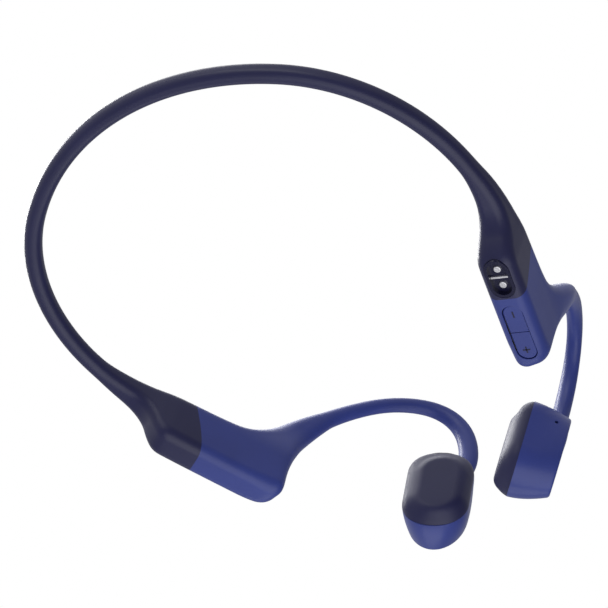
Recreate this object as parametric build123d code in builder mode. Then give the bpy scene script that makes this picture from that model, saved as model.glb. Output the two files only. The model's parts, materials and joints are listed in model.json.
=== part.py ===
from build123d import *
from math import cos, degrees, radians, sin
import os

# Bone conduction headphones, worn frame, millimetres: +X is the wearer's right, +Y forward, +Z up.
# The origin is on the surface that they stand on, below the middle of their bounding box.

# Neckband: two tangent arcs a side, in a level plane
BAND_Z = 11.5
BAND_BACK_Y = -69.45
BACK_RADIUS = 70.0
BACK_HALF_ANGLE = 34.75
SIDE_RADIUS = 48.0
TOE_IN = 23.3
BAND_HALF_WIDTH = 2.25
BAND_HALF_HEIGHT = 2.4
FLARE_LENGTH = 16.0
CORE_OFFSET = 1.05
CORE_LEAD = 6.3
WIRE_RADIUS = 0.5
CABLE_RADIUS = 0.6
BORE_CLEARANCE = 0.08

# Pods, the housings behind the ears
POD_HALF_WIDTH = 4.7
POD_HEIGHT = 14.4
POD_BODY_START = 6.5
POD_LENGTH = 36.6
POD_EDGE = 2.2
POD_NOSE_RADIUS = 4.5
COVER_WALL = 0.9
FIT_GAP = 0.05
CHASSIS_WALL = 0.8
CHASSIS_START = 5.0
CHASSIS_LENGTH = 29.4
CHASSIS_NOSE_RADIUS = 2.6
CHASSIS_ROOM_NOSE_RADIUS = 1.2
CHASSIS_EDGE = 1.2
CHASSIS_ROOM_EDGE = 0.5
LID_DEPTH = 1.0
SEAL_THICKNESS = 0.3
SEAM_TOP = 9.2
SEAM_BOTTOM = 14.9

# Sections of the flare between band and pod: place along the pod's axis, half width, bottom, top, corner
FLARE_SECTIONS = [(-FLARE_LENGTH, BAND_HALF_WIDTH, BAND_Z - BAND_HALF_HEIGHT, BAND_Z + BAND_HALF_HEIGHT, 2.0),
                  (-9.0, 2.75, 8.7, 14.0, 2.1), (-3.0, 3.4, 7.9, 14.1, 2.1), (0.5, 3.9, 5.2, 14.2, 2.1),
                  (3.2, 4.35, 1.9, 14.3, 2.2), (POD_BODY_START, POD_HALF_WIDTH, 0.0, POD_HEIGHT, POD_EDGE)]

# Ear hooks
HOOK_HEADING = 42.0
HOOK_ROOT = (44.7, 33.85, 22.0)
HOOK_RISE = (17.1, 44.8)
HOOK_FALL = (41.4, 46.0)
HOOK_END = (45.4, 23.0)
HOOK_RADII = (12.0, 20.0, 15.0)
HOOK_START = (28.5, 9.5)
HOOK_START_OUT = 0.3
HOOK_CORE_OFFSET = 0.75
# Sections: share of the hook's length, width across, thickness in its plane
HOOK_SECTIONS = [(0.06, 8.2, 10.0), (0.16, 7.2, 8.2), (0.27, 5.6, 6.4), (0.37, 4.6, 5.0), (0.48, 4.1, 4.2),
                 (0.58, 3.8, 3.8), (0.68, 3.8, 3.7), (0.78, 3.9, 3.8), (0.88, 4.3, 4.3), (0.97, 4.6, 4.7)]

# Transducers, in front of the ears
DRIVER_CENTRE = (11.6, 57.05, 12.68)
DRIVER_YAW = 53.2
DRIVER_LEAN = 4.0
DRIVER_HALF_WIDTH = 8.1
DRIVER_HALF_LENGTH = 12.7
DRIVER_CORNER = 7.6
DRIVER_DEPTH = 12.8
PAD_DEPTH = 3.3
PAD_EDGE = 2.8
DRIVER_TAPER = (0.8, 1.6)
DRIVER_DROP = 0.2
DRIVER_RIM = 0.8
DRIVER_WALL = 1.1
MOTOR_DROP = 0.6
PLATE_DEPTH = 1.25
PLATE_THICKNESS = 0.9
COIL_LENGTH = 3.7
SPRING_DEPTH = 3.75
YOKE_DEPTH = 4.4
YOKE_LENGTH = 6.2
YOKE_SIZE = (10.4, 16.0)
YOKE_WALL = 0.8
YOKE_BASE = 1.0
YOKE_CORNER = 3.2
MAGNET_SIZE = (6.4, 11.6)
MAGNET_LENGTH = 3.3
MAGNET_CORNER = 1.2
COIL_OUTER = (8.4, 13.8)
COIL_INNER = (7.2, 12.6)
COIL_CORNER = 2.4
SPRING_SIZE = (13.2, 22.2)
SPRING_HOLE = (9.0, 16.0)
SPRING_CORNER = 5.8
SPRING_THICKNESS = 0.2
PAD_ROOM = (13.4, 22.6)
PAD_ROOM_CORNER = 6.2
MIC_UP = 4.6
MIC_DEPTH = 9.4
MIC_ACROSS = -5.3
MIC_RADIUS = 0.45
MIC_CAPSULE = (1.0, 0.7)

# Charging port and keys, under the right pod
PORT_AT = 9.2
PORT_LENGTH = 10.8
PORT_WIDTH = 6.2
PORT_LIP = 0.8
PORT_SINK = 0.1
PORT_FLOOR = 1.4
PORT_TOP = 2.6
PORT_MAGNET = (2.6, 1.3, 4.0)
PIN_SPACING = 4.6
PIN_RADIUS = 0.9
PIN_HEAD = 0.5
PIN_EDGE = 0.2
PIN_STEM_RADIUS = 0.5
PIN_STEM = 1.7
DIVIDER = (0.5, 0.5)
KEYS_START = 17.3
KEYS_LENGTH = 15.8
KEYS_WIDTH = 4.7
KEY_GAP = 0.2
KEY_RECESS = 0.3
KEY_TRAVEL = 0.3
KEY_FLANGE_Z = 1.8
KEY_FLANGE = 0.5
KEY_FLANGE_SIZE = (14.8, 5.2)
KEY_EDGE = 0.25
SWITCH = (3.0, 0.6, 2.4)
SWITCH_GAP = 0.02
KEY_BOARD = (14.4, 0.5, 5.0)
MAIN_BOARD_AT = (17.6, 8.4)
MAIN_BOARD = (19.0, 8.0, 0.8)
CHIP_AT = (15.0, 8.6)
CHIP = (5.0, 5.0, 0.8)

# Multifunction button, on the left pod's outer side
BUTTON_AT = (27.0, 6.4)
BUTTON_SIZE = (8.0, 5.0)
BUTTON_CORNER = 2.2
BUTTON_EDGE = 0.3
BUTTON_FLANGE_OUT = 2.95
BUTTON_FLANGE_GROW = 0.6
BATTERY_AT = (14.5, 7.1)
BATTERY = (15.2, 9.4, 5.2)
BATTERY_BOARD = (7.6, 5.6, 0.6)
BATTERY_BOARD_OUT = 1.2
BATTERY_BOARD_DROP = 0.8

LID_FACE = POD_HALF_WIDTH - COVER_WALL - FIT_GAP - LID_DEPTH
SIDE_SWEEP = 90 + TOE_IN - BACK_HALF_ANGLE
FLARE_ANGLE = degrees(FLARE_LENGTH / SIDE_RADIUS)
POD_FORWARD = Vector(-sin(radians(TOE_IN)), cos(radians(TOE_IN)), 0)
POD_OUTWARD = Vector(cos(radians(TOE_IN)), sin(radians(TOE_IN)), 0)
HOOK_FORWARD = Vector(-sin(radians(HOOK_HEADING)), cos(radians(HOOK_HEADING)), 0)
HOOK_OUTWARD = Vector(cos(radians(HOOK_HEADING)), sin(radians(HOOK_HEADING)), 0)

os.makedirs("parts", exist_ok=True)


def save(name, shape):
    """Label one finished piece and write its STEP file."""
    shape.label = name
    export_step(shape, f"parts/{name}.step")


def save_pair(name, shape):
    """Write a piece of the wearer's right side, and its mirror image for the left."""
    save("right_" + name, shape)
    with BuildPart() as left:
        mirror(shape, about=Plane.YZ)
    save("left_" + name, left.part)


def band_line(z, shortened=0.0, lead=0.0):
    """Line of the neckband at height z: side arcs cut short by an angle, or led on straight into the pods."""
    with BuildLine(Plane.XY.offset(z)) as line:
        back = JernArc(start=(0, BAND_BACK_Y), tangent=(1, 0), radius=BACK_RADIUS, arc_size=BACK_HALF_ANGLE)
        side = JernArc(start=back @ 1, tangent=back % 1, radius=SIDE_RADIUS, arc_size=SIDE_SWEEP - shortened)
        if lead > 0:
            Line(side @ 1, side @ 1 + (side % 1) * lead)
        mirror(about=Plane.YZ)
    return line.wire()


def tube(path, radius):
    """Round bar along a path."""
    with BuildPart() as bar:
        with BuildSketch(Plane(origin=path @ 0, z_dir=path % 0)):
            Circle(radius)
        sweep(path=path)
    return bar.part


right_side_line = JernArc(
    start=Vector(BACK_RADIUS * sin(radians(BACK_HALF_ANGLE)),
                 BAND_BACK_Y + BACK_RADIUS * (1 - cos(radians(BACK_HALF_ANGLE)))),
    tangent=Vector(cos(radians(BACK_HALF_ANGLE)), sin(radians(BACK_HALF_ANGLE))),
    radius=SIDE_RADIUS, arc_size=SIDE_SWEEP)
POD_ORIGIN = Vector((right_side_line @ 1).X, (right_side_line @ 1).Y, 0)

# Side view of the pod: x along it, y up, z outward
pod_side = Plane(origin=POD_ORIGIN, x_dir=POD_FORWARD, z_dir=POD_OUTWARD)
# Plan of the pod from above: x along it, y towards the head, z up
pod_plan = Plane(origin=POD_ORIGIN, x_dir=POD_FORWARD, z_dir=Vector(0, 0, 1))


def pod_point(along, up, outward=0.0):
    """A point given by its place along, up and across the right pod."""
    return POD_ORIGIN + POD_FORWARD * along + POD_OUTWARD * outward + Vector(0, 0, up)


def hook_point(reach, up):
    """A point in the upright plane that the right ear hook lies in."""
    return Vector(HOOK_ROOT[0], HOOK_ROOT[1], 0) + HOOK_FORWARD * reach + Vector(0, 0, up)


def hook_line(offset=0.0):
    """Centreline of the ear hook, from inside the pod over the ear to inside the transducer."""
    points = [pod_point(*HOOK_START, HOOK_START_OUT), hook_point(0, HOOK_ROOT[2]),
              hook_point(*HOOK_RISE), hook_point(*HOOK_FALL), hook_point(*HOOK_END)]
    shift = HOOK_OUTWARD * offset
    with BuildLine() as line:
        FilletPolyline([p + shift for p in points], radius=list(HOOK_RADII))
    return line.wire()


# Transducer frame: x across it towards the front, y up, z outward from the pad's face
driver_up = Vector(sin(radians(DRIVER_LEAN)), -sin(radians(DRIVER_LEAN)), 1).normalized()
driver_across = driver_up.cross(Vector(cos(radians(DRIVER_YAW)), sin(radians(DRIVER_YAW)), 0)).normalized()
driver = Plane(origin=DRIVER_CENTRE, x_dir=driver_across, z_dir=driver_across.cross(driver_up))


def driver_outline(depth, inset_x, inset_y, drop=0.0):
    """Rounded outline of the transducer on a plane at the given depth behind the pad's face."""
    half_x = DRIVER_HALF_WIDTH - inset_x
    half_y = DRIVER_HALF_LENGTH - inset_y
    corner = min(DRIVER_CORNER - min(inset_x, inset_y), half_x - 0.05)
    with BuildSketch(driver.offset(depth)) as outline:
        with Locations((0, -drop)):
            RectangleRounded(2 * half_x, 2 * half_y, corner)
    return outline.sketch


def housing_solid(inset, front, back):
    """Tapered body of the transducer between two depths, all its walls drawn in by inset."""
    share = (back - PAD_DEPTH) / (DRIVER_DEPTH - PAD_DEPTH)
    with BuildPart() as body:
        add(driver_outline(front, inset, inset))
        add(driver_outline(back, inset + DRIVER_TAPER[0] * share, inset + DRIVER_TAPER[1] * share,
                           DRIVER_DROP * share))
        loft()
    return body.part


def driver_block(depth, height, size, corner, drop=MOTOR_DROP):
    """Rounded rectangular block in the transducer frame, starting at a depth behind the pad's face."""
    with BuildPart() as block:
        with BuildSketch(driver.offset(depth)):
            with Locations((0, -drop)):
                RectangleRounded(size[0], size[1], corner)
        extrude(amount=height)
    return block.part


def driver_ring(depth, height, outer, inner, corner, drop=MOTOR_DROP):
    """Rounded rectangular ring, such as a coil or a cup's wall, in the transducer frame."""
    hole_corner = corner - (outer[0] - inner[0]) / 2
    with BuildPart() as ring:
        add(driver_block(depth, height, outer, corner, drop))
        add(driver_block(depth, height, inner, hole_corner, drop), mode=Mode.SUBTRACT)
    return ring.part


def flare_plane(along):
    """Upright plane across the band line or, ahead of its end, across the pod."""
    if along >= 0:
        return Plane(origin=pod_point(along, 0), x_dir=POD_OUTWARD, z_dir=-POD_FORWARD)
    place = 1 + along / (SIDE_RADIUS * radians(SIDE_SWEEP))
    point = right_side_line @ place
    heading = right_side_line % place
    return Plane(origin=(point.X, point.Y, 0), x_dir=(heading.Y, -heading.X, 0), z_dir=-heading)


def flare(sections, shrink=0.0):
    """Loft through upright sections, all drawn in by shrink."""
    with BuildPart() as body:
        for along, half_width, low, high, corner in sections:
            with BuildSketch(flare_plane(along)):
                with Locations((0, (low + high) / 2)):
                    RectangleRounded(2 * (half_width - shrink), high - low - 2 * shrink, corner - shrink)
        loft()
    return body.part


def pod_block(start, end, shrink, nose, edge):
    """Straight body of the pod with a rounded nose, all its walls drawn in by shrink."""
    low = shrink
    high = POD_HEIGHT - shrink
    with BuildPart() as body:
        with BuildSketch(pod_side.offset(-POD_HALF_WIDTH + shrink)):
            with BuildLine():
                Polyline((start, high), (start, low), (end - nose, low))
                RadiusArc((end - nose, low), (end, low + nose), -nose)
                Polyline((end, low + nose), (end, high), (start, high))
            make_face()
        extrude(amount=2 * (POD_HALF_WIDTH - shrink))
        along_pod = body.edges().filter_by(lambda e: abs((e % 0.5).dot(POD_FORWARD)) > 0.99)
        fillet(along_pod, edge)
    return body.part


def hook_loft():
    """Solid outer shape of the ear hook, wide at its root and slender over the ear."""
    path = hook_line()
    with BuildPart() as body:
        for place, across, thick in HOOK_SECTIONS:
            with BuildSketch(Plane(origin=path @ place, x_dir=HOOK_OUTWARD, z_dir=path % place)):
                Ellipse(across / 2, thick / 2)
        loft()
    return body.part


def seam_plane():
    """Slanted plane where the dark sleeve meets the blue ear hook cover, facing forward."""
    slope = Vector(0, 0, 1) * (SEAM_BOTTOM - SEAM_TOP) + POD_FORWARD * POD_HEIGHT
    return Plane(origin=pod_point(SEAM_BOTTOM, 0), x_dir=POD_OUTWARD, z_dir=slope)


def key_well(grow, depth):
    """Slot under the pod that the two volume keys sit in."""
    with BuildPart() as well:
        with BuildSketch(pod_plan):
            with Locations((KEYS_START + KEYS_LENGTH / 2, 0)):
                RectangleRounded(KEYS_LENGTH + 2 * grow, KEYS_WIDTH + 2 * grow, KEYS_WIDTH / 2 + grow - 0.05)
        extrude(amount=depth)
    return well.part


def port_block(length, width, low, high):
    """Stadium-shaped block at the charging port."""
    with BuildPart() as block:
        with BuildSketch(pod_plan.offset(low)):
            with Locations((PORT_AT, 0)):
                SlotOverall(length, width)
        extrude(amount=high - low)
    return block.part


def pod_box(along, up, outward, size):
    """Plain block inside the pod, given by its centre and its size along, up and across."""
    with BuildPart() as block:
        with BuildSketch(pod_side.offset(outward - size[2] / 2)):
            with Locations((along, up)):
                Rectangle(size[0], size[1])
        extrude(amount=size[2])
    return block.part


def button_block(grow, low, high):
    """Rounded block through the pod's outer side, at the multifunction button."""
    with BuildPart() as block:
        with BuildSketch(pod_side.offset(low)):
            with Locations(BUTTON_AT):
                RectangleRounded(BUTTON_SIZE[0] + 2 * grow, BUTTON_SIZE[1] + 2 * grow, BUTTON_CORNER + grow)
        extrude(amount=high - low)
    return block.part


def chassis_slice(low, high):
    """The part of the chassis block between two distances outward from the pod's middle."""
    with BuildPart() as piece:
        add(chassis_block)
        split(bisect_by=pod_side.offset(low), keep=Keep.TOP)
        split(bisect_by=pod_side.offset(high), keep=Keep.BOTTOM)
    return piece.part


def volume_key(start, end):
    """One volume key: the pressed face, and the flange that holds it in above the chassis wall."""
    with BuildPart() as key:
        with BuildSketch(pod_plan.offset(KEY_RECESS)):
            with Locations((key_split, 0)):
                RectangleRounded(KEYS_LENGTH, KEYS_WIDTH, KEYS_WIDTH / 2 - 0.05)
        extrude(amount=KEY_FLANGE_Z - KEY_RECESS)
        fillet(key.edges().group_by(Axis.Z)[0], KEY_EDGE)
        with BuildSketch(pod_plan.offset(KEY_FLANGE_Z)):
            with Locations((key_split, 0)):
                Rectangle(*KEY_FLANGE_SIZE)
        extrude(amount=KEY_FLANGE)
        split(bisect_by=Plane(origin=pod_point(start, 0), z_dir=POD_FORWARD), keep=Keep.TOP)
        split(bisect_by=Plane(origin=pod_point(end, 0), z_dir=POD_FORWARD), keep=Keep.BOTTOM)
    return key.part


# Paths of the wires and cables
band_wire_line = band_line(BAND_Z + CORE_OFFSET, lead=CORE_LEAD)
band_cable_line = band_line(BAND_Z - CORE_OFFSET, lead=CORE_LEAD)
hook_wire_line = hook_line(offset=HOOK_CORE_OFFSET)
hook_cable_line = hook_line(offset=-HOOK_CORE_OFFSET)

# Shared right-hand bodies
driver_body = housing_solid(0.0, PAD_DEPTH, DRIVER_DEPTH)
pod_body = pod_block(POD_BODY_START, POD_LENGTH, 0.0, POD_NOSE_RADIUS, POD_EDGE)
cavity = pod_block(CHASSIS_START, CHASSIS_START + CHASSIS_LENGTH,
                   COVER_WALL, CHASSIS_NOSE_RADIUS + FIT_GAP, CHASSIS_EDGE + FIT_GAP)
chassis_block = pod_block(CHASSIS_START + FIT_GAP, CHASSIS_START + CHASSIS_LENGTH - FIT_GAP,
                          COVER_WALL + FIT_GAP, CHASSIS_NOSE_RADIUS, CHASSIS_EDGE)
chassis_room = pod_block(CHASSIS_START + CHASSIS_WALL, CHASSIS_START + CHASSIS_LENGTH - CHASSIS_WALL,
                         COVER_WALL + CHASSIS_WALL, CHASSIS_ROOM_NOSE_RADIUS, CHASSIS_ROOM_EDGE)
band_bores = tube(band_wire_line, WIRE_RADIUS + BORE_CLEARANCE) + tube(
    band_cable_line, CABLE_RADIUS + BORE_CLEARANCE)
hook_bores = tube(hook_wire_line, WIRE_RADIUS + BORE_CLEARANCE) + tube(
    hook_cable_line, CABLE_RADIUS + BORE_CLEARANCE)
port_hole = port_block(PORT_LENGTH, PORT_WIDTH, -1, COVER_WALL + CHASSIS_WALL + 1)
well = key_well(KEY_GAP, COVER_WALL + CHASSIS_WALL + 1)

# Neckband sleeve: one dark overmoulding, from seam to seam
with BuildPart() as rear_cover:
    add(flare(FLARE_SECTIONS))
    add(pod_body)
    split(bisect_by=seam_plane(), keep=Keep.BOTTOM)
    add(cavity, mode=Mode.SUBTRACT)

with BuildPart() as neckband_sleeve:
    with BuildSketch(flare_plane(-FLARE_LENGTH)):
        with Locations((0, BAND_Z)):
            RectangleRounded(2 * BAND_HALF_WIDTH, 2 * BAND_HALF_HEIGHT, 2.0)
    sweep(path=band_line(BAND_Z, FLARE_ANGLE))
    add(rear_cover.part)
    mirror(rear_cover.part, about=Plane.YZ)
    add(band_bores, mode=Mode.SUBTRACT)
    add(port_hole, mode=Mode.SUBTRACT)
save("neckband_sleeve", neckband_sleeve.part)
save("neckband_wire", tube(band_wire_line, WIRE_RADIUS))
save("neckband_cable", tube(band_cable_line, CABLE_RADIUS))

# Ear hook covers: blue overmoulding of the pod's front and the hook
with BuildPart() as hook_cover:
    add(pod_body)
    add(hook_loft())
    split(bisect_by=seam_plane(), keep=Keep.TOP)
    add(cavity, mode=Mode.SUBTRACT)
    add(hook_bores, mode=Mode.SUBTRACT)
    add(driver_body, mode=Mode.SUBTRACT)

with BuildPart() as right_hook_cover:
    add(hook_cover.part)
    add(well, mode=Mode.SUBTRACT)
    add(port_hole, mode=Mode.SUBTRACT)
save("right_ear_hook_cover", right_hook_cover.part)

with BuildPart() as left_hook_cover:
    add(hook_cover.part)
    add(button_block(KEY_GAP, 0, POD_HALF_WIDTH + 1), mode=Mode.SUBTRACT)
with BuildPart() as left_hook_cover_mirrored:
    mirror(left_hook_cover.part, about=Plane.YZ)
save("left_ear_hook_cover", left_hook_cover_mirrored.part)

# Pod chassis: rigid tray inside the covers, its lid on the side of the head, with a seal between



with BuildPart() as tray:
    add(chassis_slice(SEAL_THICKNESS - LID_FACE, POD_HALF_WIDTH))
    add(chassis_room, mode=Mode.SUBTRACT)
    add(band_bores, mode=Mode.SUBTRACT)
    add(hook_bores, mode=Mode.SUBTRACT)

with BuildPart() as right_chassis:
    add(tray.part)
    add(port_hole, mode=Mode.SUBTRACT)
    add(well, mode=Mode.SUBTRACT)
save("right_pod_chassis", right_chassis.part)

with BuildPart() as left_chassis:
    add(tray.part)
    add(button_block(KEY_GAP, 0, POD_HALF_WIDTH), mode=Mode.SUBTRACT)
with BuildPart() as left_chassis_mirrored:
    mirror(left_chassis.part, about=Plane.YZ)
save("left_pod_chassis", left_chassis_mirrored.part)

with BuildPart() as lid_seal:
    add(chassis_slice(-LID_FACE, SEAL_THICKNESS - LID_FACE))
    add(chassis_room, mode=Mode.SUBTRACT)
with BuildPart() as lid:
    add(chassis_slice(-POD_HALF_WIDTH, -LID_FACE))
for name, piece in (("pod_lid_seal", lid_seal.part), ("pod_lid", lid.part)):
    with BuildPart() as right_piece:
        add(piece)
        add(port_hole, mode=Mode.SUBTRACT)
        add(well, mode=Mode.SUBTRACT)
    save("right_" + name, right_piece.part)
    with BuildPart() as left_piece:
        mirror(piece, about=Plane.YZ)
    save("left_" + name, left_piece.part)

# Cores of the ear hooks
save_pair("ear_hook_wire", tube(hook_wire_line, WIRE_RADIUS))
save_pair("ear_hook_cable", tube(hook_cable_line, CABLE_RADIUS))

# Right pod: charging port
with BuildPart() as port_bezel:
    add(port_block(PORT_LENGTH - 2 * FIT_GAP, PORT_WIDTH - 2 * FIT_GAP, PORT_SINK, PORT_TOP))
    add(port_block(PORT_LENGTH - 2 * PORT_LIP, PORT_WIDTH - 2 * PORT_LIP, 0, PORT_FLOOR), mode=Mode.SUBTRACT)
    with Locations(pod_plan):
        with Locations((PORT_AT, 0, PORT_TOP)):
            with GridLocations(PIN_SPACING, 0, 2, 1):
                Hole(PIN_STEM_RADIUS + FIT_GAP)
save("charging_port_bezel", port_bezel.part)

with BuildPart() as charging_pins:
    with BuildSketch(pod_plan.offset(PORT_FLOOR - PIN_HEAD)):
        with Locations((PORT_AT, 0)):
            with GridLocations(PIN_SPACING, 0, 2, 1):
                Circle(PIN_RADIUS)
    extrude(amount=PIN_HEAD)
    fillet(charging_pins.edges().group_by(Axis.Z)[0], PIN_EDGE)
    with BuildSketch(pod_plan.offset(PORT_FLOOR)):
        with Locations((PORT_AT, 0)):
            with GridLocations(PIN_SPACING, 0, 2, 1):
                Circle(PIN_STEM_RADIUS)
    extrude(amount=PIN_STEM)
save("charging_pins", charging_pins.part)
divider_size = (*DIVIDER, PORT_WIDTH - 2 * PORT_LIP - 2 * FIT_GAP)
save("charging_port_divider", pod_box(PORT_AT, PORT_FLOOR - DIVIDER[1] / 2, 0, divider_size))
save("charging_port_magnet", pod_box(PORT_AT, PORT_TOP + FIT_GAP + PORT_MAGNET[1] / 2, 0, PORT_MAGNET))

# Right pod: volume keys, their switches and the key board
key_split = KEYS_START + KEYS_LENGTH / 2


save("volume_down_key", volume_key(KEYS_START - 1, key_split - KEY_GAP / 2))
save("volume_up_key", volume_key(key_split + KEY_GAP / 2, KEYS_START + KEYS_LENGTH + 1))
switch_low = KEY_FLANGE_Z + KEY_FLANGE + KEY_TRAVEL + SWITCH_GAP
for name, place in (("volume_down_switch", -KEYS_LENGTH / 4), ("volume_up_switch", KEYS_LENGTH / 4)):
    save(name, pod_box(key_split + place, switch_low + SWITCH[1] / 2, 0, SWITCH))
save("key_board", pod_box(key_split, switch_low + SWITCH[1] + KEY_BOARD[1] / 2, 0, KEY_BOARD))
save("main_circuit_board", pod_box(*MAIN_BOARD_AT, 0, MAIN_BOARD))
save("bluetooth_chip", pod_box(*CHIP_AT, MAIN_BOARD[2] / 2 + CHIP[2] / 2, CHIP))

# Left pod: battery and multifunction button
battery_board_at = (BUTTON_AT[0], BUTTON_AT[1] - BATTERY_BOARD_DROP, BATTERY_BOARD_OUT)
button_switch_out = BATTERY_BOARD_OUT + BATTERY_BOARD[2] / 2 + SWITCH[1] / 2
upright_switch = (SWITCH[0], SWITCH[2], SWITCH[1])
left_pieces = {"battery_cell": pod_box(*BATTERY_AT, 0, BATTERY),
               "battery_board": pod_box(*battery_board_at, BATTERY_BOARD),
               "multifunction_switch": pod_box(*BUTTON_AT, button_switch_out, upright_switch)}
with BuildPart() as button:
    add(button_block(0, BUTTON_FLANGE_OUT, POD_HALF_WIDTH))
    outer_face = button.faces().sort_by(lambda f: f.center().dot(POD_OUTWARD))[-1]
    fillet(outer_face.edges(), BUTTON_EDGE)
    add(button_block(BUTTON_FLANGE_GROW, BUTTON_FLANGE_OUT - KEY_FLANGE, BUTTON_FLANGE_OUT))
left_pieces["multifunction_button"] = button.part
for name, shape in left_pieces.items():
    with BuildPart() as left_piece:
        mirror(shape, about=Plane.YZ)
    save(name, left_piece.part)

# Transducers: housing, pad, and the motor that shakes behind it
with BuildPart() as housing:
    add(driver_body)
    rim = housing.faces().sort_by(lambda f: f.center().dot(driver.z_dir))[-1].edges()
    fillet(rim, DRIVER_RIM)
    add(housing_solid(DRIVER_WALL, PAD_DEPTH, DRIVER_DEPTH - DRIVER_WALL), mode=Mode.SUBTRACT)
    add(hook_bores, mode=Mode.SUBTRACT)

mic_plane = Plane(origin=driver.from_local_coords((MIC_ACROSS, MIC_UP, MIC_DEPTH)), z_dir=-driver_across)
with BuildPart() as mic_bore:
    with BuildSketch(mic_plane):
        Circle(MIC_RADIUS)
    extrude(amount=DRIVER_HALF_WIDTH)
with BuildPart() as right_housing:
    add(housing.part)
    add(mic_bore.part, mode=Mode.SUBTRACT)
save("right_driver_housing", right_housing.part)
with BuildPart() as left_housing:
    mirror(housing.part, about=Plane.YZ)
save("left_driver_housing", left_housing.part)
with BuildPart() as microphone:
    with BuildSketch(mic_plane):
        Circle(MIC_CAPSULE[0])
    extrude(amount=MIC_CAPSULE[1])
save("microphone", microphone.part)

with BuildPart() as pad:
    with BuildSketch(driver):
        RectangleRounded(2 * DRIVER_HALF_WIDTH, 2 * DRIVER_HALF_LENGTH, DRIVER_CORNER)
    extrude(amount=PAD_DEPTH)
    front = pad.faces().sort_by(lambda f: f.center().dot(driver.z_dir))[0].edges()
    fillet(front, PAD_EDGE)
    add(driver_block(PLATE_DEPTH - FIT_GAP, PAD_DEPTH, PAD_ROOM, PAD_ROOM_CORNER, 0), mode=Mode.SUBTRACT)
save_pair("face_pad", pad.part)

plate_size = (PAD_ROOM[0] - 2 * FIT_GAP, PAD_ROOM[1] - 2 * FIT_GAP)
coil_depth = PLATE_DEPTH + PLATE_THICKNESS
yoke_inner = (YOKE_SIZE[0] - 2 * YOKE_WALL, YOKE_SIZE[1] - 2 * YOKE_WALL)
save_pair("vibration_plate",
          driver_block(PLATE_DEPTH, PLATE_THICKNESS, plate_size, PAD_ROOM_CORNER - FIT_GAP, 0))
save_pair("voice_coil", driver_ring(coil_depth, COIL_LENGTH, COIL_OUTER, COIL_INNER, COIL_CORNER))
save_pair("suspension_spring", driver_ring(SPRING_DEPTH, SPRING_THICKNESS, SPRING_SIZE, SPRING_HOLE,
                                           SPRING_CORNER, 0))
with BuildPart() as yoke:
    add(driver_ring(YOKE_DEPTH, YOKE_LENGTH - YOKE_BASE, YOKE_SIZE, yoke_inner, YOKE_CORNER))
    add(driver_block(YOKE_DEPTH + YOKE_LENGTH - YOKE_BASE, YOKE_BASE, YOKE_SIZE, YOKE_CORNER))
save_pair("motor_yoke", yoke.part)
magnet_depth = YOKE_DEPTH + YOKE_LENGTH - YOKE_BASE - MAGNET_LENGTH
save_pair("motor_magnet", driver_block(magnet_depth, MAGNET_LENGTH, MAGNET_SIZE, MAGNET_CORNER))
save_pair("motor_top_plate", driver_block(magnet_depth - YOKE_BASE, YOKE_BASE, MAGNET_SIZE, MAGNET_CORNER))
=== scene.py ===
"""Looks of a pair of bone conduction headphones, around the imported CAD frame."""

import json
import math

import bmesh
import bpy
import numpy as np
import openvdb
from mathutils import Matrix, Vector


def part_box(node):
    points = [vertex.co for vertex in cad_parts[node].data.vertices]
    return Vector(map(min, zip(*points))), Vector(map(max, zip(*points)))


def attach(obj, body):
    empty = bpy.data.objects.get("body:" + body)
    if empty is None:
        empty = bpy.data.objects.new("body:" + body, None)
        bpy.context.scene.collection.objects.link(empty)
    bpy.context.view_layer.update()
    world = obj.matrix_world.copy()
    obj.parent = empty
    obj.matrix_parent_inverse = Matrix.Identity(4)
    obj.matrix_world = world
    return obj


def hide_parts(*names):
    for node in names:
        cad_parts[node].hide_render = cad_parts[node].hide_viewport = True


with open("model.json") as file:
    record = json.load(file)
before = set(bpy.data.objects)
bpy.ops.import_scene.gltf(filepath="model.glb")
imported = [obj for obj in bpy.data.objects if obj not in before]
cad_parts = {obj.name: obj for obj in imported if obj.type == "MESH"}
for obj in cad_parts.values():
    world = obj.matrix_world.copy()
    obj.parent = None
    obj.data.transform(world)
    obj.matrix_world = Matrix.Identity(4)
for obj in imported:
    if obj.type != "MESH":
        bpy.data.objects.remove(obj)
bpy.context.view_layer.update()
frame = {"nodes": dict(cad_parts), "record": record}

MM = 0.001

# Camera: below the headphones and in front of the wearer's right side, looking up; metres and degrees
CAMERA_TARGET = (0.0033, -0.0057, 0.0054)
CAMERA_DISTANCE = 1.1492
CAMERA_AZIMUTH = -32.34
CAMERA_ELEVATION = -46.69
CAMERA_ROLL = 20.59
CAMERA_LENS = 291.16
CAMERA_SENSOR = 36
CAMERA_SIGHT = 10

# Lights: offset from the target along the camera's right, up and backward, in metres, then size and power
LIGHTS = {
    "key": ((-0.35, 0.75, 0.35), (0.6, 0.4), 1.2),
    "rim": ((-0.1, 0.45, -0.8), (0.9, 0.3), 2),
    "fill": ((0.1, -0.75, 0.75), (1.5, 1.5), 9),
    "low": ((-0.05, -0.75, -0.2), (0.5, 0.2), 0.5),
    "near": ((-0.11, 0.05, -0.2), (0.08, 0.12), 0.33),
}

# Studio around the object: where its bright end is, along the same directions, and its two ends
STUDIO_BRIGHT_WAY = (-0.35, 0.45, -0.55)
STUDIO_DARK = (0.35, (0.2, 0.2, 0.22, 1))
STUDIO_BRIGHT = (0.95, (0.85, 0.85, 0.9, 1))
STUDIO_STRENGTH = 0.8

# Floor, metres
FLOOR = -0.0002
FLOOR_HALF = 40
FLOOR_PAPER = (0.85, 0.85, 0.86, 1)
FLOOR_ROUGHNESS = 0.9
FLOOR_GLOW = 0.48
WHITE = (1, 1, 1, 1)

# Colours, linear
NAVY = (0.020, 0.021, 0.082)
BLUE = (0.041, 0.063, 0.30)
DEEP_NAVY = (0.012, 0.012, 0.045)

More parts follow.
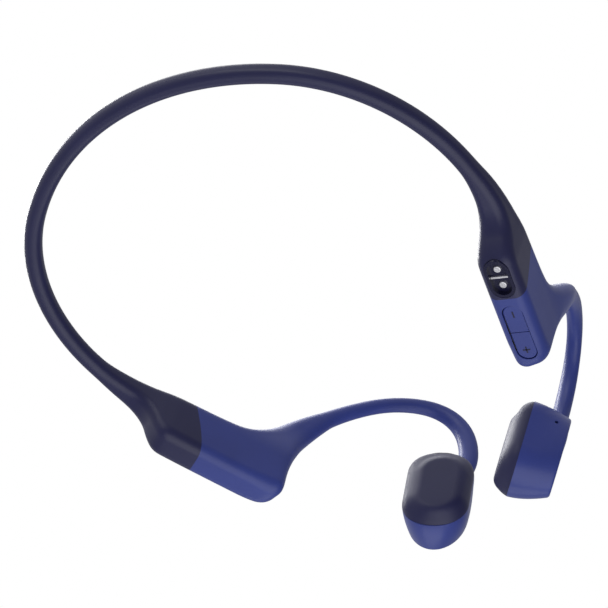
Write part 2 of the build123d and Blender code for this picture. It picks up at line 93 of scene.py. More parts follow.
# Colour, roughness, metal share and clear coat of each material
FINISHES = {
    "sleeve_silicone": (NAVY, 0.42, 0, 0),
    "cover_silicone": (BLUE, 0.42, 0, 0),
    "driver_shell": (BLUE, 0.38, 0, 0),
    "pad_silicone": (NAVY, 0.48, 0, 0),
    "key_silicone": (BLUE, 0.42, 0, 0),
    "key_mark": (DEEP_NAVY, 0.50, 0, 0),
    "port_plastic": (DEEP_NAVY, 0.20, 0, 0.5),
    "contact_metal": ((0.86, 0.86, 0.90), 0.30, 0.7, 0),
    "spring_wire": ((0.55, 0.55, 0.58), 0.35, 1, 0),
    "magnet_metal": ((0.62, 0.62, 0.64), 0.22, 1, 0),
    "steel": ((0.50, 0.50, 0.52), 0.40, 1, 0),
    "copper": ((0.72, 0.35, 0.18), 0.35, 1, 0),
    "battery_foil": ((0.70, 0.70, 0.72), 0.35, 1, 0),
    "circuit_board": ((0.03, 0.16, 0.08), 0.35, 0, 0),
    "chip_plastic": ((0.03, 0.03, 0.03), 0.55, 0, 0),
    "cable_sheath": ((0.03, 0.03, 0.03), 0.60, 0, 0),
    "seal_rubber": ((0.12, 0.12, 0.13), 0.75, 0, 0),
    "inner_plastic": ((0.02, 0.02, 0.024), 0.50, 0, 0),
}

# Surface: lumps in a metre, detail, depth in metres, and how far colour and roughness vary
GRAIN_SCALE = 3500
GRAIN_DETAIL = 3
GRAIN_DEPTH = 0.000004
COLOUR_SCALE = 60
COLOUR_VARIES = 0.06
COLOUR_ENDS = (0.35, 0.65)
GLOSS_SCALE = 220
GLOSS_VARIES = 0.04
VARIATION_DETAIL = 4

# Neckband, millimetres: two tangent arcs a side, then the straight pod; its skin is slimmer than the sleeve
SLEEVE_HALF_WIDTH = 2.25
BAND_HALF_WIDTH = 2.15
BAND_LOW = 9.2
BAND_HIGH = 13.7
BACK_RADIUS = 70.0
BACK_SWEEP = math.radians(34.75)
SIDE_RADIUS = 48.0
TOE_IN = math.radians(23.3)
SIDE_SWEEP = math.radians(90) + TOE_IN - BACK_SWEEP
SIDE_LENGTH = SIDE_RADIUS * SIDE_SWEEP
HALF_BAND = SIDE_LENGTH + BACK_RADIUS * BACK_SWEEP
BEYOND = 6.0

# Pod: its side outline, as (along, up) from the end of the band's arcs
POD_HEIGHT = 14.4
FLARE_BELOW = [(-26, BAND_LOW), (-16, BAND_LOW), (-9, 8.9), (-4, 8.4), (-0.4, 6.3), (1.9, 2.8), (4.4, 0.3),
               (8, 0)]
NOSE = [(31.4, 0), (35.0, 0.3), (36.6, 2.0), (36.7, 4.4), (36.4, 7.6), (36.4, 11), (36.8, 14), (37.5, 17),
        (38.4, 20), (39.6, 23.4), (41.2, 27.0)]
HOOK_VALLEY = [(36.2, 30.9), (33.4, 27.6), (30.5, 23.6), (27.4, 19.6), (24.0, 16.5), (20.2, 15.2)]
FLARE_ABOVE = [(6.5, 14.8), (0, 14.5), (-9, 14.3), (-16, BAND_HIGH), (-26, BAND_HIGH)]
SEAM = [(17.3, -6), (14.9, 0), (12.9, 6.5), (9.2, 14.4), (5.6, 22)]

# Pod: half its width, and how round its edges are, at places along it
HALF_WIDTHS = [(-16, BAND_HALF_WIDTH), (-9, 2.7), (-3, 3.4), (0.5, 3.9), (3.2, 4.35), (6.5, 4.7)]
EDGES = [(-16, 2.0), (-9, 2.1), (-3, 2.2), (0.5, 2.3), (3.2, 2.4), (6.5, 2.7), (28, 2.7), (33, 3.3),
         (36, 3.7)]
NOSE_SLANT = 0.28
NOSE_AHEAD = (30.5, 35.0)
NOSE_UP = (16.0, 26.0)

# Ear hook: its line as (reach, up) in its own upright plane, and its thickness there at runs along the line
HOOK_HEADING = math.radians(42.0)
HOOK_FOOT = np.array((44.7, 33.85, 0))
HOOK_LINE = [(-6.3, 9.5), (0.2, 22.0), (5, 30.0), (9.75, 35.3), (14.8, 39.7), (19, 42.6), (23.5, 44.7),
             (28.7, 45.9), (33.2, 45.7), (37.4, 44.0), (41.0, 40.4), (43.3, 35.4), (44.3, 30.0), (43.7, 25.5),
             (42.3, 21.0)]
HOOK_THICK = [(22, 5.7), (26, 4.9), (32, 4.3), (38, 4.0), (46, 3.8), (54, 3.7), (62, 3.8), (70, 4.2),
              (80, 4.6)]
HOOK_FREE = 27.5
HOOK_STEP = 2.0

# Ear hook: half its width across that plane, at places along the pod, and how its root grows out of the pod
HALF_ACROSS = [(20, 4.2), (34, 3.9), (37, 3.4), (39.5, 2.95), (42, 2.6), (46, 2.3), (50, 2.15), (56, 2.0),
               (64, 2.0), (70, 2.1), (75, 2.3), (80, 2.45)]
HOOK_ROUND = 0.92
ROOT_RISE = (11.0, 25.0)
ROOT_BEND = 3.0

# Hollow and openings of the pod
COVER_WALL = 0.9
CAVITY = (5.0, 33.6)
CAVITY_HALF_WIDTH = 3.5
CAVITY_CORNER = 2.0
PORT_AT = 9.2
PORT_SIZE = (10.8, 6.2)
PORT_CORNER = 3.09
OPENING_DEPTH = 2.8
KEYS_AT = 25.2
KEYS_SIZE = (15.8, 4.7)
KEYS_CORNER = 2.5
KEY_GAP = 0.2
KEY_RECESS = 0.3
MARK_INSET = 2.6
MARK_LENGTH = 1.9
MARK_WIDTH = 0.35
MARK_CORNER = 0.165
MARK_HEIGHT = 0.06
BUTTON_AT = (27.0, 6.4)
BUTTON_SIZE = (8.0, 5.0)
BUTTON_CORNER = 2.4

# Transducer: across, up and outward from the middle of the pad's face
DRIVER_CENTRE = np.array((11.6, 57.05, 12.68))
DRIVER_YAW = math.radians(53.2)
DRIVER_LEAN = math.radians(4.0)
DRIVER_HALF = (8.1, 12.7)
DRIVER_END_HALF = (7.3, 11.0)
DRIVER_TAPER_POWER = 1.7
DRIVER_SHIFT = -0.7
DRIVER_CORNER = 7.6
DRIVER_CORNER_LOSS = 1.2
DRIVER_DEPTH = 12.8
DRIVER_WALL = 0.6
DRIVER_RIM = 0.5
SHOULDER_TOP = (43.8, 25.5)
SHOULDER_LOW = np.array((3.0, -2.0, 8.0))
SHOULDER_RADIUS = 2.3
SHOULDER_BLEND = 3.0
PAD_DEPTH = 3.3
PAD_EDGE = 3.0
PAD_CROWN = 1.6
PAD_CROWN_POWER = 4
PLATEAU_AT = (0.7, -1.4)
PLATEAU_HALF = (5.3, 9.0)
PLATEAU_CORNER = 5.2
PLATEAU_HEIGHT = 0.8
PLATEAU_EDGE = 1.4
PLATEAU_BLEND = 3.0
PAD_ROOM = (13.4, 22.6)
PAD_ROOM_CORNER = 6.2
PAD_ROOM_DEPTH = 1.2
MIC_DEEP = -5.3
MIC_AT = (4.6, 9.4)
MIC_RADIUS = 0.45
MIC_CORNER = 0.449

# Sculpting, millimetres: the spaces searched, and the sizes of the cells
SLEEVE_SPACE = ((-HALF_BAND - 3, -5.6, -0.9), (18, 5.7, 16))
COVER_SPACE = ((6, -17, -0.9), (84, 7.5, 49))
DRIVER_SPACE = ((-10, -15, -2), (10, 16, 14))
CELL = 0.3
CUT_CELL = 0.25
FINE_CELL = 0.2
SHARP = math.radians(35)

# Cutting blocks, millimetres: their outer corners as (along, up), and how far they reach past what they cut
AHEAD_CORNERS = [(5.6, 60), (90, 60), (90, -6)]
BEHIND_CORNERS = [(-60, -9), (-60, 70), (5.6, 60)]
SEAM_REACH = 40
PAST_MIDDLE = 9
MIDDLE_UP = (-9, 30)
MIDDLE_REACH = 20
UNDER_POD = -2
PAST_BUTTON = 8
SLAB_HALF = 20
BEFORE_PAD = -5
PAST_DRIVER = 20
PAD_ROOM_END = 9
MIC_START = -12

# Joining the halves of the sleeve, metres
MIDDLE = 1e-5
WELD = 2e-6


# --- Shapes as distances, in millimetres, negative inside ---

def rounded_corners(points, rounds=3, closed=True):
    """Cuts the corners of an outline again and again, until it is smooth."""
    line = np.array(points, float)
    for _ in range(rounds):
        after = np.roll(line, -1, axis=0)
        pairs = np.stack((0.75 * line + 0.25 * after, 0.25 * line + 0.75 * after), axis=1)
        if closed:
            line = pairs.reshape(-1, 2)
        else:
            line = np.concatenate((line[:1], pairs[:-1].reshape(-1, 2), line[-1:]))
    return line


def outline_distance(outline, u, v):
    """Distance from points (u, v) to a closed outline."""
    distance = np.full(np.broadcast(u, v).shape, np.inf)
    inside = np.zeros(distance.shape, bool)
    for (u0, v0), (u1, v1) in zip(outline, np.roll(outline, -1, axis=0)):
        du, dv = u1 - u0, v1 - v0
        share = np.clip(((u - u0) * du + (v - v0) * dv) / (du * du + dv * dv + 1e-12), 0, 1)
        distance = np.minimum(distance, np.hypot(u - u0 - share * du, v - v0 - share * dv))
        if v0 != v1:
            inside ^= ((v0 > v) != (v1 > v)) & (u < u0 + (v - v0) * du / dv)
    return np.where(inside, -distance, distance)


def rounded_join(a, b, edge):
    """The part inside both a and b, with the edge between them rounded."""
    a, b = a + edge, b + edge
    return np.minimum(np.maximum(a, b), 0) + np.hypot(np.maximum(a, 0), np.maximum(b, 0)) - edge


def smooth_union(a, b, reach):
    """Both a and b, with a fillet where they meet."""
    share = np.clip(0.5 + 0.5 * (b - a) / reach, 0, 1)
    return b * (1 - share) + a * share - reach * share * (1 - share)


def smooth_values(at, table):
    """Smooth curve through a table's (place, value) pairs, level beyond its ends."""
    places, values = np.array(table, float).T
    steps = np.diff(values) / np.diff(places)
    slopes = np.zeros(len(values))
    same = steps[:-1] * steps[1:] > 0
    slopes[1:-1][same] = 2 * (steps[:-1] * steps[1:])[same] / (steps[:-1] + steps[1:])[same]
    i = np.clip(np.searchsorted(places, at) - 1, 0, len(places) - 2)
    gap = places[i + 1] - places[i]
    t = np.clip((at - places[i]) / gap, 0, 1)
    return ((2 * t**3 - 3 * t**2 + 1) * values[i] + (t**3 - 2 * t**2 + t) * gap * slopes[i]
            + (3 * t**2 - 2 * t**3) * values[i + 1] + (t**3 - t**2) * gap * slopes[i + 1])


def smooth_step(value, start, end):
    """Rises smoothly from 0 at start to 1 at end."""
    t = np.clip((value - start) / (end - start), 0, 1)
    return t * t * (3 - 2 * t)


def rounded_rectangle(u, v, half_u, half_v, corner):
    """Distance to an upright rectangle with round corners."""
    return rounded_join(np.abs(u) - half_u, np.abs(v) - half_v, corner)


def ellipse(u, v, half_u, half_v):
    """Nearly the distance to an ellipse."""
    near = np.hypot(u / half_u, v / half_v)
    slope = np.hypot(u / half_u**2, v / half_v**2) + 1e-9
    return near * (near - 1) / slope


# --- Frames ---

def heading(angle):
    """Level directions forward and outward, for something toed in by that angle."""
    return np.array((-math.sin(angle), math.cos(angle), 0)), np.array((math.cos(angle), math.sin(angle), 0))


POD_FORWARD, POD_OUTWARD = heading(TOE_IN)
BACK_WAY = np.array((math.sin(BACK_SWEEP), -math.cos(BACK_SWEEP), 0))
BAND_BACK_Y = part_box("neckband_sleeve")[0].y / MM + SLEEVE_HALF_WIDTH
BACK_CENTRE = np.array((0, BAND_BACK_Y + BACK_RADIUS, 0))
SIDE_CENTRE = BACK_CENTRE + (BACK_RADIUS - SIDE_RADIUS) * BACK_WAY
POD_ORIGIN = SIDE_CENTRE + SIDE_RADIUS * POD_OUTWARD


def round_centre(centre, radius, turn):
    """Level places at a radius from a centre, turned from +X."""
    return centre + radius[:, None] * np.stack((np.cos(turn), np.sin(turn), np.zeros(len(turn))), axis=1)


def from_pod(points):
    """Row-frame places of points given along the band and pod, outward and up. Behind the pod they bend."""
    along, out, up = points.T
    straight = POD_ORIGIN + np.outer(np.maximum(along, 0), POD_FORWARD) + np.outer(out, POD_OUTWARD)
    side_turn = TOE_IN + np.clip(along, -SIDE_LENGTH, 0) / SIDE_RADIUS
    back_turn = BACK_SWEEP - math.pi / 2 + (along + SIDE_LENGTH) / BACK_RADIUS
    side = round_centre(SIDE_CENTRE, SIDE_RADIUS + out, side_turn)
    back = round_centre(BACK_CENTRE, BACK_RADIUS + out, back_turn)
    on_pod, on_side = (along >= 0)[:, None], (along >= -SIDE_LENGTH)[:, None]
    placed = np.where(on_pod, straight, np.where(on_side, side, back))
    placed[:, 2] = up
    return placed


HOOK_FORWARD, _ = heading(HOOK_HEADING)
HOOK_ALONG = (HOOK_FOOT - POD_ORIGIN) @ POD_FORWARD
HOOK_OFFSET = (HOOK_FOOT - POD_ORIGIN) @ POD_OUTWARD


def hook_point(reach, up):
    """Row-frame point on the ear hook's upright plane."""
    return HOOK_FOOT + HOOK_FORWARD * reach + (0, 0, up)


DRIVER_UP = np.array((math.sin(DRIVER_LEAN), -math.sin(DRIVER_LEAN), 1))
DRIVER_UP /= np.linalg.norm(DRIVER_UP)
DRIVER_ACROSS = np.cross(DRIVER_UP, (math.cos(DRIVER_YAW), math.sin(DRIVER_YAW), 0))
DRIVER_ACROSS /= np.linalg.norm(DRIVER_ACROSS)
DRIVER_OUT = np.cross(DRIVER_ACROSS, DRIVER_UP)
DRIVER_WAYS = np.stack((DRIVER_ACROSS, DRIVER_UP, DRIVER_OUT))


def from_driver(points):
    """Row-frame places of points given across, up and outward from the pad's face."""
    return DRIVER_CENTRE + points @ DRIVER_WAYS


def to_driver(point):
    """A row-frame point given across, up and outward from the pad's face."""
    return DRIVER_WAYS @ (point - DRIVER_CENTRE)


# --- The object's forms ---

def hook_edges():
    """The ear hook's lower edge from root to end and its upper edge back, as (along, up) on the pod."""
    line = rounded_corners(HOOK_LINE, 2, closed=False)
    run = np.concatenate(([0], np.cumsum(np.linalg.norm(np.diff(line, axis=0), axis=1))))
    places = np.arange(HOOK_FREE, run[-1], HOOK_STEP)
    middle = np.stack([np.interp(places, run, values) for values in line.T], axis=1)
    way = np.gradient(middle, axis=0)
    way /= np.linalg.norm(way, axis=1)[:, None]
    aside = np.stack((way[:, 1], -way[:, 0]), axis=1) * (smooth_values(places, HOOK_THICK) / 2)[:, None]
    edges = np.concatenate((middle + aside, (middle - aside)[::-1]))
    edges[:, 0] = HOOK_ALONG + edges[:, 0] * (HOOK_FORWARD @ POD_FORWARD)
    return [tuple(point) for point in edges]


def side_outline():
    """Outline of one side as (along, up), from past the middle of the band to the end of the ear hook."""
    near, far = -HALF_BAND - BEYOND, -HALF_BAND - 3 * BEYOND
    rear = [(near, BAND_HIGH), (far, BAND_HIGH), (far, BAND_LOW), (near, BAND_LOW)]
    return rounded_corners(rear + FLARE_BELOW + NOSE + hook_edges() + HOOK_VALLEY + FLARE_ABOVE)


def side_distance(along, out, up):
    """Distance to one side of the headphones: band, flare, pod and ear hook in one smooth form."""
    profile = outline_distance(side_outline(), along[:, :, 0], up[0])[:, None, :]
    rise = smooth_step(up, *ROOT_RISE)
    half_across = smooth_values(along, HALF_ACROSS)
    half_width = smooth_values(along, HALF_WIDTHS) * (1 - rise) + half_across * rise
    ahead = (along - HOOK_ALONG + np.hypot(along - HOOK_ALONG, ROOT_BEND)) / 2
    middle = rise * (HOOK_OFFSET - ahead * math.tan(HOOK_HEADING - TOE_IN))
    edge = smooth_values(along, EDGES) * (1 - rise) + half_across * HOOK_ROUND * rise
    return rounded_join(profile, np.abs(out - middle) - half_width, edge)


def driver_outline(across, up, depth, inset=0.0):
    """Distance to the transducer's outline at each depth: a rounded rectangle that ends as a smaller oval."""
    share = np.clip((depth - PAD_DEPTH) / (DRIVER_DEPTH - PAD_DEPTH), 0, 1) ** DRIVER_TAPER_POWER
    half = [a + (b - a) * share - inset for a, b in zip(DRIVER_HALF, DRIVER_END_HALF)]
    shifted = across - DRIVER_SHIFT * share
    straight = rounded_rectangle(shifted, up, *half, DRIVER_CORNER - inset - DRIVER_CORNER_LOSS * share)
    oval = ellipse(shifted, up, *half)
    return straight + (oval - straight) * share


def housing_distance(across, up, depth):
    """Distance to the transducer's housing, with a shoulder where the ear hook runs into it."""
    body = rounded_join(driver_outline(across, up, depth), depth - DRIVER_DEPTH, DRIVER_RIM)
    top = to_driver(hook_point(*SHOULDER_TOP))
    way = SHOULDER_LOW - top
    from_top = [axis - start for axis, start in zip((across, up, depth), top)]
    share = np.clip(sum(axis * w for axis, w in zip(from_top, way)) / (way @ way), 0, 1)
    gap = np.sqrt(sum((axis - share * w) ** 2 for axis, w in zip(from_top, way)))
    return smooth_union(body, gap - SHOULDER_RADIUS, SHOULDER_BLEND)


def housing_room_distance(across, up, depth):
    """Distance to the hollow inside the housing."""
    return np.maximum(driver_outline(across, up, depth, DRIVER_WALL), depth - DRIVER_DEPTH + DRIVER_WALL)


def pad_distance(across, up, depth):
    """Distance to the face pad: a rounded cap with a raised flat middle."""
    crown = PAD_CROWN * (up / DRIVER_HALF[1]) ** PAD_CROWN_POWER
    cap = rounded_join(rounded_rectangle(across, up, *DRIVER_HALF, DRIVER_CORNER), crown - depth, PAD_EDGE)
    middle = rounded_rectangle(across - PLATEAU_AT[0], up - PLATEAU_AT[1], *PLATEAU_HALF, PLATEAU_CORNER)
    plateau = rounded_join(middle, -depth - PLATEAU_HEIGHT, PLATEAU_EDGE)
    return smooth_union(cap, plateau, PLATEAU_BLEND)


def slant_nose(points):
    """Draws the pod's nose back on its outer side and forward on its inner side."""
    along, out, up = points.T
    nose = smooth_step(along, *NOSE_AHEAD) * (1 - smooth_step(up, *NOSE_UP))
    return np.stack((along - NOSE_SLANT * out * nose, out, up), axis=1)


# --- Materials ---

def nodes_of(material):
    material.use_nodes = True
    tree = material.node_tree
    return tree, tree.nodes["Principled BSDF"]


def link(tree, *chain):
    """Joins sockets in pairs: from, to, from, to."""
    for source, target in zip(chain[::2], chain[1::2]):
        tree.links.new(source, target)


def noise_of(tree, position, scale, detail):
    """Noise over the surface, with that many lumps in a metre."""
    noise = tree.nodes.new("ShaderNodeTexNoise")
    noise.inputs["Scale"].default_value = scale
    noise.inputs["Detail"].default_value = detail
    link(tree, position.outputs["Object"], noise.inputs["Vector"])
    return noise


def add_grain(tree, shader, position):
    """A fine moulded grain as bump."""
    noise = noise_of(tree, position, GRAIN_SCALE, GRAIN_DETAIL)
    bump = tree.nodes.new("ShaderNodeBump")
    bump.inputs["Strength"].default_value = 1
    bump.inputs["Distance"].default_value = GRAIN_DEPTH
    link(tree, noise.outputs["Fac"], bump.inputs["Height"], bump.outputs["Normal"], shader.inputs["Normal"])


def vary_colour(tree, shader, position, colour):
    """Slow variation about a colour."""
    noise = noise_of(tree, position, COLOUR_SCALE, VARIATION_DETAIL)
    ramp = tree.nodes.new("ShaderNodeValToRGB")
    shares = (1 - COLOUR_VARIES, 1 + COLOUR_VARIES)
    for element, place, share in zip(ramp.color_ramp.elements, COLOUR_ENDS, shares):
        element.position = place
        element.color = (*(channel * share for channel in colour), 1)
    link(tree, noise.outputs["Fac"], ramp.inputs["Fac"], ramp.outputs["Color"], shader.inputs["Base Color"])


def vary_gloss(tree, shader, position, roughness):
    """Slow variation about a roughness."""
    noise = noise_of(tree, position, GLOSS_SCALE, VARIATION_DETAIL)
    spread = tree.nodes.new("ShaderNodeMapRange")
    spread.inputs["To Min"].default_value = roughness - GLOSS_VARIES
    spread.inputs["To Max"].default_value = roughness + GLOSS_VARIES
    link(tree, noise.outputs["Fac"], spread.inputs["Value"],
         spread.outputs["Result"], shader.inputs["Roughness"])


def make_material(name, colour, roughness, metal, coat):
    """A moulded or plated surface: slightly uneven colour and gloss over a fine grain."""
    material = bpy.data.materials.new(name)
    tree, shader = nodes_of(material)
    position = tree.nodes.new("ShaderNodeTexCoord")
    add_grain(tree, shader, position)
    vary_colour(tree, shader, position, colour)
    vary_gloss(tree, shader, position, roughness)
    shader.inputs["Metallic"].default_value = metal
    shader.inputs["Coat Weight"].default_value = coat
    return material


materials = {name: make_material(name, *finish) for name, finish in FINISHES.items()}


def dress_nodes():
    """Gives each CAD node the material of its slot."""
    slots = {row["node"]: row["material_slot"] for row in frame["record"]["subparts"]}
    for name, node in frame["nodes"].items():
        node.data.materials.clear()
        node.data.materials.append(materials[slots[name]])


# --- Meshes ---

def new_object(name, points, faces):
    mesh = bpy.data.meshes.new(name)
    mesh.from_pydata(points, [], faces)
    piece = bpy.data.objects.new(name, mesh)
    bpy.context.scene.collection.objects.link(piece)
    return piece


def sculpt(name, space, distance, cell):
    """A solid where distance(x, y, z) is below zero inside a space, as even quads."""
    axes = [np.arange(low, high + cell, cell) for low, high in zip(*space)]
    field = distance(axes[0][:, None, None], axes[1][None, :, None], axes[2][None, None, :])
    for side in (0, -1):
        field[side], field[:, side], field[:, :, side] = cell, cell, cell
    grid = openvdb.FloatGrid()
    grid.copyFromArray(field.astype(np.float32))
    points, quads = grid.convertToQuads(0.0)
    return new_object(name, (np.array(space[0]) + points * cell).tolist(), quads[:, ::-1].tolist())


def prism(name, outline, low, high, axis):
    """A closed block over an outline, between two heights along an axis of the piece's frame."""
    count = len(outline)
    points = [list(np.insert(point, axis, height)) for height in (low, high) for point in outline]
    sides = [(i, (i + 1) % count, count + (i + 1) % count, count + i) for i in range(count)]
    faces = [tuple(range(count - 1, -1, -1)), tuple(range(count, 2 * count))] + sides
    block = new_object(name, points, faces)
    fix_normals(block.data)
    return block


def fix_normals(mesh):
    work = bmesh.new()
    work.from_mesh(mesh)
    bmesh.ops.recalc_face_normals(work, faces=work.faces)
    work.to_mesh(mesh)
    work.free()


def slot_outline(centre, length, width, corner, count=12):
    """Outline of a rectangle with round corners."""
    points = []
    for turn, (u, v) in enumerate(((1, 1), (-1, 1), (-1, -1), (1, -1))):
        for angle in np.linspace(turn * math.pi / 2, (turn + 1) * math.pi / 2, count):
            points.append((centre[0] + u * (length / 2 - corner) + corner * math.cos(angle),
                           centre[1] + v * (width / 2 - corner) + corner * math.sin(angle)))
    return points


def carve(piece, *tools):
    """Takes each tool's shape out of a piece, and removes the tools."""
    for tool in tools:
        step = piece.modifiers.new("step", "BOOLEAN")
        step.operation = "DIFFERENCE"
        step.object = tool
        step.solver = "MANIFOLD"
    bpy.context.view_layer.update()
    made = bpy.data.meshes.new_from_object(piece.evaluated_get(bpy.context.evaluated_depsgraph_get()))
    piece.modifiers.clear()
    old, piece.data = piece.data, made
    bpy.data.meshes.remove(old)
    for tool in tools:
        bpy.data.objects.remove(tool)


def reshape(piece, change):
    """Moves a piece's vertices by a function of their places."""
    mesh = piece.data
    points = np.empty(len(mesh.vertices) * 3, np.float32)
    mesh.vertices.foreach_get("co", points)
    mesh.vertices.foreach_set("co", change(points.reshape(-1, 3).astype(float)).astype(np.float32).ravel())
    mesh.update()
    return piece


def shade(piece):
    piece.data.shade_smooth()
    piece.data.set_sharp_from_angle(angle=SHARP)


def settle(piece, mirrored=False):
    """Brings a piece from millimetres to metres, on the right side or mirrored to the left."""
    reshape(piece, lambda points: points * MM * ((-1, 1, 1) if mirrored else (1, 1, 1)))
    if mirrored:
        piece.data.flip_normals()
    shade(piece)


def duplicate(piece, name):
    twin = bpy.data.objects.new(name, piece.data.copy())
    bpy.context.scene.collection.objects.link(twin)
    return twin


def finish_piece(piece, node, slot):
    """Material and slot of a piece that stands for a CAD node, on the body that does not move."""
    piece.data.materials.clear()
    piece.data.materials.append(materials[slot])
    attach(piece, "root")
    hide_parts(node)


# --- Cutting blocks ---

def seam_line():
    return [tuple(point) for point in rounded_corners(SEAM, 2, closed=False)]


def ahead_of_seam():
    return prism("ahead", seam_line() + AHEAD_CORNERS, -SEAM_REACH, SEAM_REACH, 1)


def behind_seam():
    return prism("behind", BEHIND_CORNERS + seam_line()[::-1], -SEAM_REACH, SEAM_REACH, 1)


def past_middle():
    """Everything beyond the middle of the back of the band."""
    far = -HALF_BAND - PAST_MIDDLE
    low, high = MIDDLE_UP
    outline = [(far, low), (-HALF_BAND, low), (-HALF_BAND, high), (far, high)]
    return prism("past_middle", outline, -MIDDLE_REACH, MIDDLE_REACH, 1)


def driver_slab(low, high):
    """Everything between two depths of the transducer."""
    half = SLAB_HALF
    return prism("slab", [(-half, -half), (half, -half), (half, half), (-half, half)], low, high, 2)


def cavity():
    centre = ((CAVITY[0] + CAVITY[1]) / 2, POD_HEIGHT / 2)
    outline = slot_outline(centre, CAVITY[1] - CAVITY[0], POD_HEIGHT - 2 * COVER_WALL, CAVITY_CORNER)
    return prism("cavity", outline, -CAVITY_HALF_WIDTH, CAVITY_HALF_WIDTH, 1)


def port_opening():
    return prism("port", slot_outline((PORT_AT, 0), *PORT_SIZE, PORT_CORNER), UNDER_POD, OPENING_DEPTH, 2)


def key_opening():
    length, width = (size + 2 * KEY_GAP for size in KEYS_SIZE)
    return prism("keys", slot_outline((KEYS_AT, 0), length, width, KEYS_CORNER), UNDER_POD, OPENING_DEPTH, 2)


def button_opening():
    length, width = (size + 2 * KEY_GAP for size in BUTTON_SIZE)
    return prism("button", slot_outline(BUTTON_AT, length, width, BUTTON_CORNER), 0, PAST_BUTTON, 1)


def microphone_hole():
    outline = slot_outline(MIC_AT, 2 * MIC_RADIUS, 2 * MIC_RADIUS, MIC_CORNER)
    return prism("hole", outline, MIC_START, MIC_DEEP, 0)


# --- Pieces ---

def make_sleeve():
    """The dark overmoulding from seam to seam: one side is carved, and mirrored at the back of the neck."""
    half = sculpt("neckband_skin", SLEEVE_SPACE, side_distance, CELL)
    carve(half, ahead_of_seam(), cavity(), past_middle())
    left = duplicate(half, "left_half")
    carve(half, port_opening())
    for side, mirrored in ((half, False), (left, True)):
        settle(reshape(side, from_pod), mirrored)
        drop_cap(side.data)
    join_halves(half, left)
    finish_piece(half, "neckband_sleeve", "sleeve_silicone")


def drop_cap(mesh):
    """Removes the faces where the two halves of the sleeve meet."""
    work = bmesh.new()
    work.from_mesh(mesh)
    caps = [face for face in work.faces if all(abs(vert.co.x) < MIDDLE for vert in face.verts)]
    bmesh.ops.delete(work, geom=caps, context="FACES")
    work.to_mesh(mesh)
    work.free()


def join_halves(keep, other):
    """Joins the left half to the right one along the middle."""
    work = bmesh.new()
    work.from_mesh(keep.data)
    work.from_mesh(other.data)
    middle = [vert for vert in work.verts if abs(vert.co.x) < MIDDLE]
    bmesh.ops.remove_doubles(work, verts=middle, dist=WELD)
    work.to_mesh(keep.data)
    work.free()
    shade(keep)
    bpy.data.objects.remove(other)


def make_covers():
    """The blue overmoulding of each pod's front and ear hook."""
    right = sculpt("right_ear_hook_skin", COVER_SPACE, side_distance, CELL)
    reshape(right, slant_nose)
    carve(right, behind_seam(), cavity())
    left = duplicate(right, "left_ear_hook_skin")
    carve(right, port_opening(), key_opening())
    carve(left, button_opening())
    for piece, side, mirrored in ((right, "right", False), (left, "left", True)):
        reshape(piece, from_pod)
        housing = sculpt("housing", DRIVER_SPACE, housing_distance, CUT_CELL)
        carve(piece, reshape(housing, from_driver))
        settle(piece, mirrored)
        finish_piece(piece, side + "_ear_hook_cover", "cover_silicone")


def make_key_marks():
    """Raised marks on the volume keys: a bar on the rear one, a cross on the front one."""
    reach = KEYS_SIZE[0] / 2 - MARK_INSET
    lengthwise, crosswise = (MARK_LENGTH, MARK_WIDTH), (MARK_WIDTH, MARK_LENGTH)
    bars = (("volume_down", -reach, lengthwise), ("volume_up", reach, lengthwise),
            ("volume_up", reach, crosswise))
    for i, (body, place, size) in enumerate(bars):
        outline = slot_outline((KEYS_AT + place, 0), *size, MARK_CORNER)
        mark = prism(f"{body}_mark_{i}", outline, KEY_RECESS - MARK_HEIGHT, KEY_RECESS + MARK_HEIGHT, 2)
        settle(reshape(mark, from_pod))
        mark.data.materials.append(materials["key_mark"])
        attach(mark, body)


def make_housing(side, mirrored):
    """Housing of a transducer; the right one has the microphone's hole."""
    housing = sculpt(side + "_housing_skin", DRIVER_SPACE, housing_distance, FINE_CELL)
    room = sculpt("room", DRIVER_SPACE, housing_room_distance, FINE_CELL)
    carve(housing, driver_slab(BEFORE_PAD, PAD_DEPTH), room)
    if not mirrored:
        carve(housing, microphone_hole())
    settle(reshape(housing, from_driver), mirrored)
    finish_piece(housing, side + "_driver_housing", "driver_shell")


def make_pad(side, mirrored):
    """Face pad of a transducer, hollow behind."""
    pad = sculpt(side + "_pad_skin", DRIVER_SPACE, pad_distance, FINE_CELL)
    outline = slot_outline((0, 0), *PAD_ROOM, PAD_ROOM_CORNER)
    hollow = prism("hollow", outline, PAD_ROOM_DEPTH, PAD_ROOM_END, 2)
    carve(pad, driver_slab(PAD_DEPTH, PAST_DRIVER), hollow)
    settle(reshape(pad, from_driver), mirrored)
    finish_piece(pad, side + "_face_pad", "pad_silicone")


# --- Camera and lights ---

def camera_axes():
    """The camera's right, up and backward directions."""
    azimuth, elevation, roll = (math.radians(a) for a in (CAMERA_AZIMUTH, CAMERA_ELEVATION, CAMERA_ROLL))
    flat = math.cos(elevation)
    back = Vector((flat * math.cos(azimuth), flat * math.sin(azimuth), math.sin(elevation)))
    level = Vector((0, 0, 1)).cross(back).normalized()
    right = level * math.cos(roll) + back.cross(level) * math.sin(roll)
    return right, back.cross(right), back


CAMERA_AXES = camera_axes()


def from_camera(right, up, back):
    """A direction given along the camera's axes."""
    return sum((axis * share for axis, share in zip(CAMERA_AXES, (right, up, back))), Vector())


def make_camera():
    data = bpy.data.cameras.new("camera")
    data.lens = CAMERA_LENS
    data.sensor_width = CAMERA_SENSOR
    data.clip_end = CAMERA_SIGHT
    camera = bpy.data.objects.new("camera", data)
    bpy.context.scene.collection.objects.link(camera)
    place = Vector(CAMERA_TARGET) + from_camera(0, 0, CAMERA_DISTANCE)
    camera.matrix_world = Matrix.Translation(place) @ Matrix(CAMERA_AXES).transposed().to_4x4()
    bpy.context.scene.camera = camera


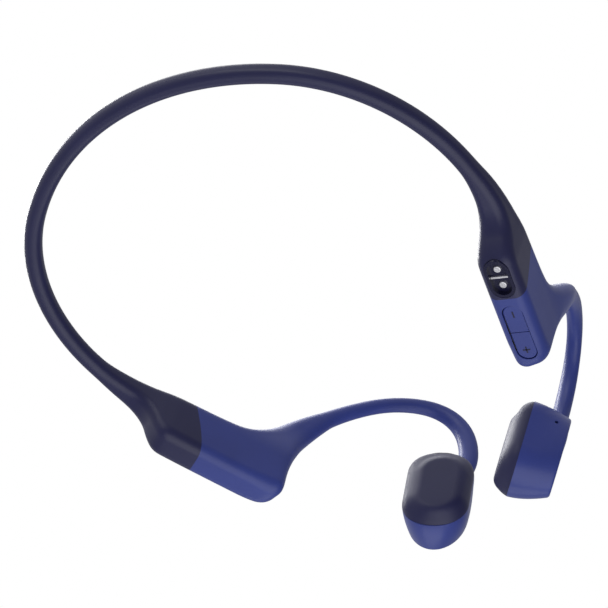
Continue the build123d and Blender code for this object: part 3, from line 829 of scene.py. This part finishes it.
def make_light(name, offset, size, power):
    """A soft area light, which faces the object and stays out of the picture."""
    data = bpy.data.lights.new(name, "AREA")
    data.shape = "RECTANGLE"
    data.size, data.size_y = size
    data.energy = power
    light = bpy.data.objects.new(name, data)
    bpy.context.scene.collection.objects.link(light)
    way = from_camera(*offset)
    light.location = Vector(CAMERA_TARGET) + way
    light.rotation_euler = way.to_track_quat("Z", "Y").to_euler()
    light.visible_camera = False


def make_world():
    """White to the camera, and a soft studio to the object: bright above the picture, dark below it."""
    world = bpy.data.worlds.new("studio")
    bpy.context.scene.world = world
    world.use_nodes = True
    tree = world.node_tree
    tree.nodes.clear()
    position = tree.nodes.new("ShaderNodeTexCoord")
    dot = tree.nodes.new("ShaderNodeVectorMath")
    dot.operation = "DOT_PRODUCT"
    dot.inputs[1].default_value = from_camera(*STUDIO_BRIGHT_WAY).normalized()
    spread = tree.nodes.new("ShaderNodeMapRange")
    spread.inputs["From Min"].default_value = -1
    ramp = tree.nodes.new("ShaderNodeValToRGB")
    for element, (place, colour) in zip(ramp.color_ramp.elements, (STUDIO_DARK, STUDIO_BRIGHT)):
        element.position, element.color = place, colour
    studio = tree.nodes.new("ShaderNodeBackground")
    studio.inputs["Strength"].default_value = STUDIO_STRENGTH
    white = tree.nodes.new("ShaderNodeBackground")
    white.inputs["Color"].default_value = WHITE
    path = tree.nodes.new("ShaderNodeLightPath")
    mix = tree.nodes.new("ShaderNodeMixShader")
    out = tree.nodes.new("ShaderNodeOutputWorld")
    link(tree, position.outputs["Generated"], dot.inputs[0], dot.outputs["Value"], spread.inputs["Value"],
         spread.outputs["Result"], ramp.inputs["Fac"], ramp.outputs["Color"], studio.inputs["Color"],
         path.outputs["Is Camera Ray"], mix.inputs["Fac"], studio.outputs["Background"], mix.inputs[1],
         white.outputs["Background"], mix.inputs[2], mix.outputs["Shader"], out.inputs["Surface"])


def make_floor():
    """A pale floor that shows from above only, because the camera looks up through it."""
    half = FLOOR_HALF
    corners = [(-half, -half, FLOOR), (half, -half, FLOOR), (half, half, FLOOR), (-half, half, FLOOR)]
    floor = new_object("floor", corners, [(0, 1, 2, 3)])
    material = bpy.data.materials.new("floor_paper")
    tree, shader = nodes_of(material)
    shader.inputs["Base Color"].default_value = FLOOR_PAPER
    shader.inputs["Roughness"].default_value = FLOOR_ROUGHNESS
    shader.inputs["Emission Color"].default_value = WHITE
    shader.inputs["Emission Strength"].default_value = FLOOR_GLOW
    geometry = tree.nodes.new("ShaderNodeNewGeometry")
    clear = tree.nodes.new("ShaderNodeBsdfTransparent")
    mix = tree.nodes.new("ShaderNodeMixShader")
    out = tree.nodes["Material Output"]
    link(tree, geometry.outputs["Backfacing"], mix.inputs["Fac"], shader.outputs["BSDF"], mix.inputs[1],
         clear.outputs["BSDF"], mix.inputs[2], mix.outputs["Shader"], out.inputs["Surface"])
    floor.data.materials.append(material)
    floor.visible_shadow = False
    floor.visible_glossy = False
    floor.visible_diffuse = False


# --- Scene ---

bpy.context.scene.view_settings.view_transform = "Standard"
make_camera()
make_world()
make_floor()
for light_name, light in LIGHTS.items():
    make_light(light_name, *light)
dress_nodes()
make_sleeve()
make_covers()
make_key_marks()
for side_name, is_left in (("right", False), ("left", True)):
    make_housing(side_name, is_left)
    make_pad(side_name, is_left)
